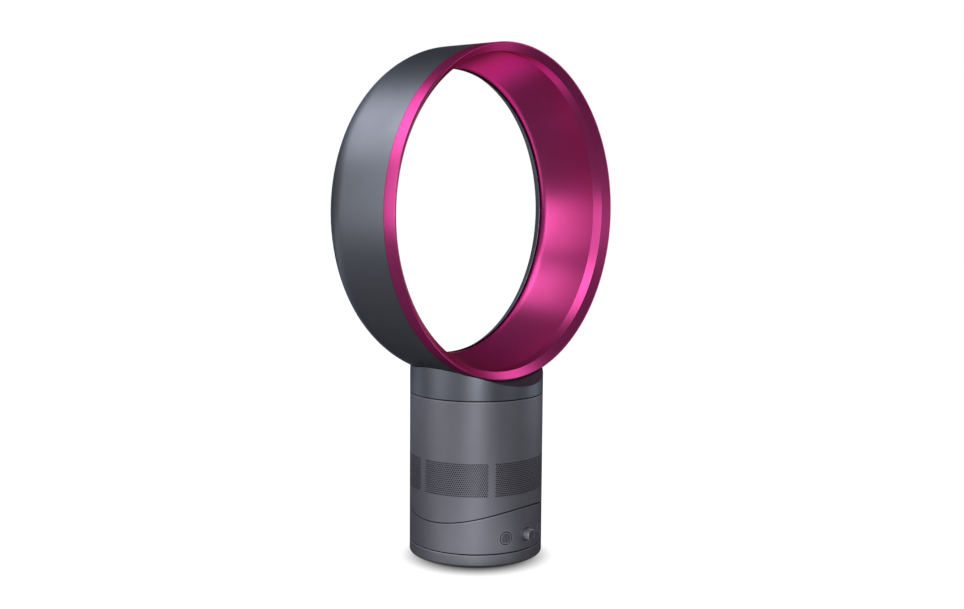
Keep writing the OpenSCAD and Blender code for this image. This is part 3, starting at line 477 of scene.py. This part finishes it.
WHITE = (1.0, 1.0, 1.0, 1.0)
FLOOR_TONES = (0.22, 0.22, 0.22, 1.0), (0.25, 0.25, 0.25, 1.0)
FLOOR_REACH = 6.0
BACKDROP = (0.755, 0.656)           # level direction from the photograph's camera to the background
AMBIENT = 0.11                      # strength of the studio around the fan
SHADOW_AT = (-0.015, -0.013)        # the floor's white fades in around this point, between these distances: a painted shadow, set off toward the front
SHADOW_IN, SHADOW_OUT = 0.046, 0.09
LAMPS_FACE = Vector((0, 0, 0.28))

# Where reflections see white, each as the ramp's start and end. On the floor they are distances along BACKDROP and to
# its sides. In the sky they are the share of a direction that is along BACKDROP, and the share that is upwards.
BEHIND_FROM, BEHIND_TO = (0.3, 0.5), (1.2, 0.9)
FRONT_FROM, FRONT_TO, FRONT_SIDE, FRONT_SHARE = (-0.05, -0.12), (-0.36, -0.24), (0.22, 0.06), 0.7
SKY_ALONG, SKY_UP = (0.8, 0.98), (0.18, 0.08)


def rays(s, *kinds):
    """1 for rays of the kinds given, such as the camera's, and 0 for the rest."""
    path = s.add("ShaderNodeLightPath")
    total = Wire(s, path.outputs[f"Is {kinds[0]} Ray"])
    for kind in kinds[1:]:
        total = total.most(Wire(s, path.outputs[f"Is {kind} Ray"]))
    return total


def white_side(s, reflected):
    """1 where the background is white: all round for the camera and through clear things, and in reflections by the
    share in `reflected`."""
    return rays(s, "Camera", "Transmission").most(rays(s, "Glossy") * reflected)


def pale_floor():
    """Pale floor: near the foot its white glow is cut, a painted shadow, where the diffuse floor also takes the
    object's real shadow; around it, it fades to plain white.
    """
    s = Shade("pale_floor")
    x, y, _ = s.split(s.place())
    dx, dy = x - SHADOW_AT[0], y - SHADOW_AT[1]
    away = (dx * dx + dy * dy).root()
    far, aside = x * BACKDROP[0] + y * BACKDROP[1], (x * BACKDROP[1] - y * BACKDROP[0]).abs()
    behind = far.between(*BEHIND_FROM) * far.between(*BEHIND_TO)
    in_front = far.between(*FRONT_FROM) * far.between(*FRONT_TO) * aside.between(*FRONT_SIDE) * FRONT_SHARE
    diffuse = s.make("ShaderNodeBsdfDiffuse", Color=s.mix(s.grain(300.0, 2.0), *FLOOR_TONES))
    # Near the foot the white glow is cut out: painted shadow.
    glow = s.make("ShaderNodeEmission", Color=WHITE,
                  Strength=white_side(s, behind.most(in_front)) * away.between(SHADOW_IN, SHADOW_OUT))
    s.show(s.make("ShaderNodeAddShader", {0: diffuse, 1: glow}))
    return s.material


floor_mesh = bpy.data.meshes.new("floor")
corner_signs = ((-1, -1), (1, -1), (1, 1), (-1, 1))
floor_mesh.from_pydata([(a * FLOOR_REACH, b * FLOOR_REACH, 0) for a, b in corner_signs], [], [(0, 1, 2, 3)])
floor_mesh.materials.append(pale_floor())
floor = bpy.data.objects.new("floor", floor_mesh)
bpy.context.scene.collection.objects.link(floor)


def softbox(name, azimuth, elevation, distance, size, power):
    """Area light that faces the fan from an azimuth and elevation, with its width and height and its watts."""
    light = bpy.data.lights.new(name, "AREA")
    light.shape = "RECTANGLE"
    light.size, light.size_y = size
    light.energy = power
    lamp = bpy.data.objects.new(name, light)
    bpy.context.scene.collection.objects.link(lamp)
    pose = aim(azimuth, elevation, 0.0)
    lamp.matrix_world = Matrix.Translation(LAMPS_FACE + pose.col[2].xyz * distance) @ pose


softbox("front_strip", -49.0, 2.0, 2.2, (0.5, 1.8), 19.5)
softbox("left_side", -112.0, 9.0, 2.2, (1.4, 1.6), 12.5)
softbox("left_front", -74.0, 6.0, 2.2, (0.6, 1.6), 1.6)
softbox("left_top", -118.0, 55.0, 2.2, (1.3, 1.2), 6.0)
softbox("back_left_high", -150.0, 42.0, 2.2, (1.5, 1.1), 10.5)
softbox("right_front", 10.0, 0.0, 2.2, (1.0, 1.2), 2.6)
softbox("right_side", 58.0, 0.0, 2.2, (1.2, 1.1), 4.6)
softbox("right_high", 72.0, 38.0, 2.2, (0.8, 0.7), 3.2)
softbox("back_right", 165.0, 30.0, 2.4, (0.9, 0.9), 2.4)

world = bpy.data.worlds.new("studio")
world.use_nodes = True
s = Shade("studio", world.node_tree, "ShaderNodeOutputWorld")
x, y, z = s.split(s.make("ShaderNodeTexCoord", out="Generated"))
low_behind = (x * BACKDROP[0] + y * BACKDROP[1]).between(*SKY_ALONG) * z.between(*SKY_UP)
s.show(s.make("ShaderNodeBackground", Color=WHITE, Strength=white_side(s, low_behind) * (1.0 - AMBIENT) + AMBIENT))
bpy.context.scene.world = world
bpy.context.scene.view_settings.view_transform = "Standard"
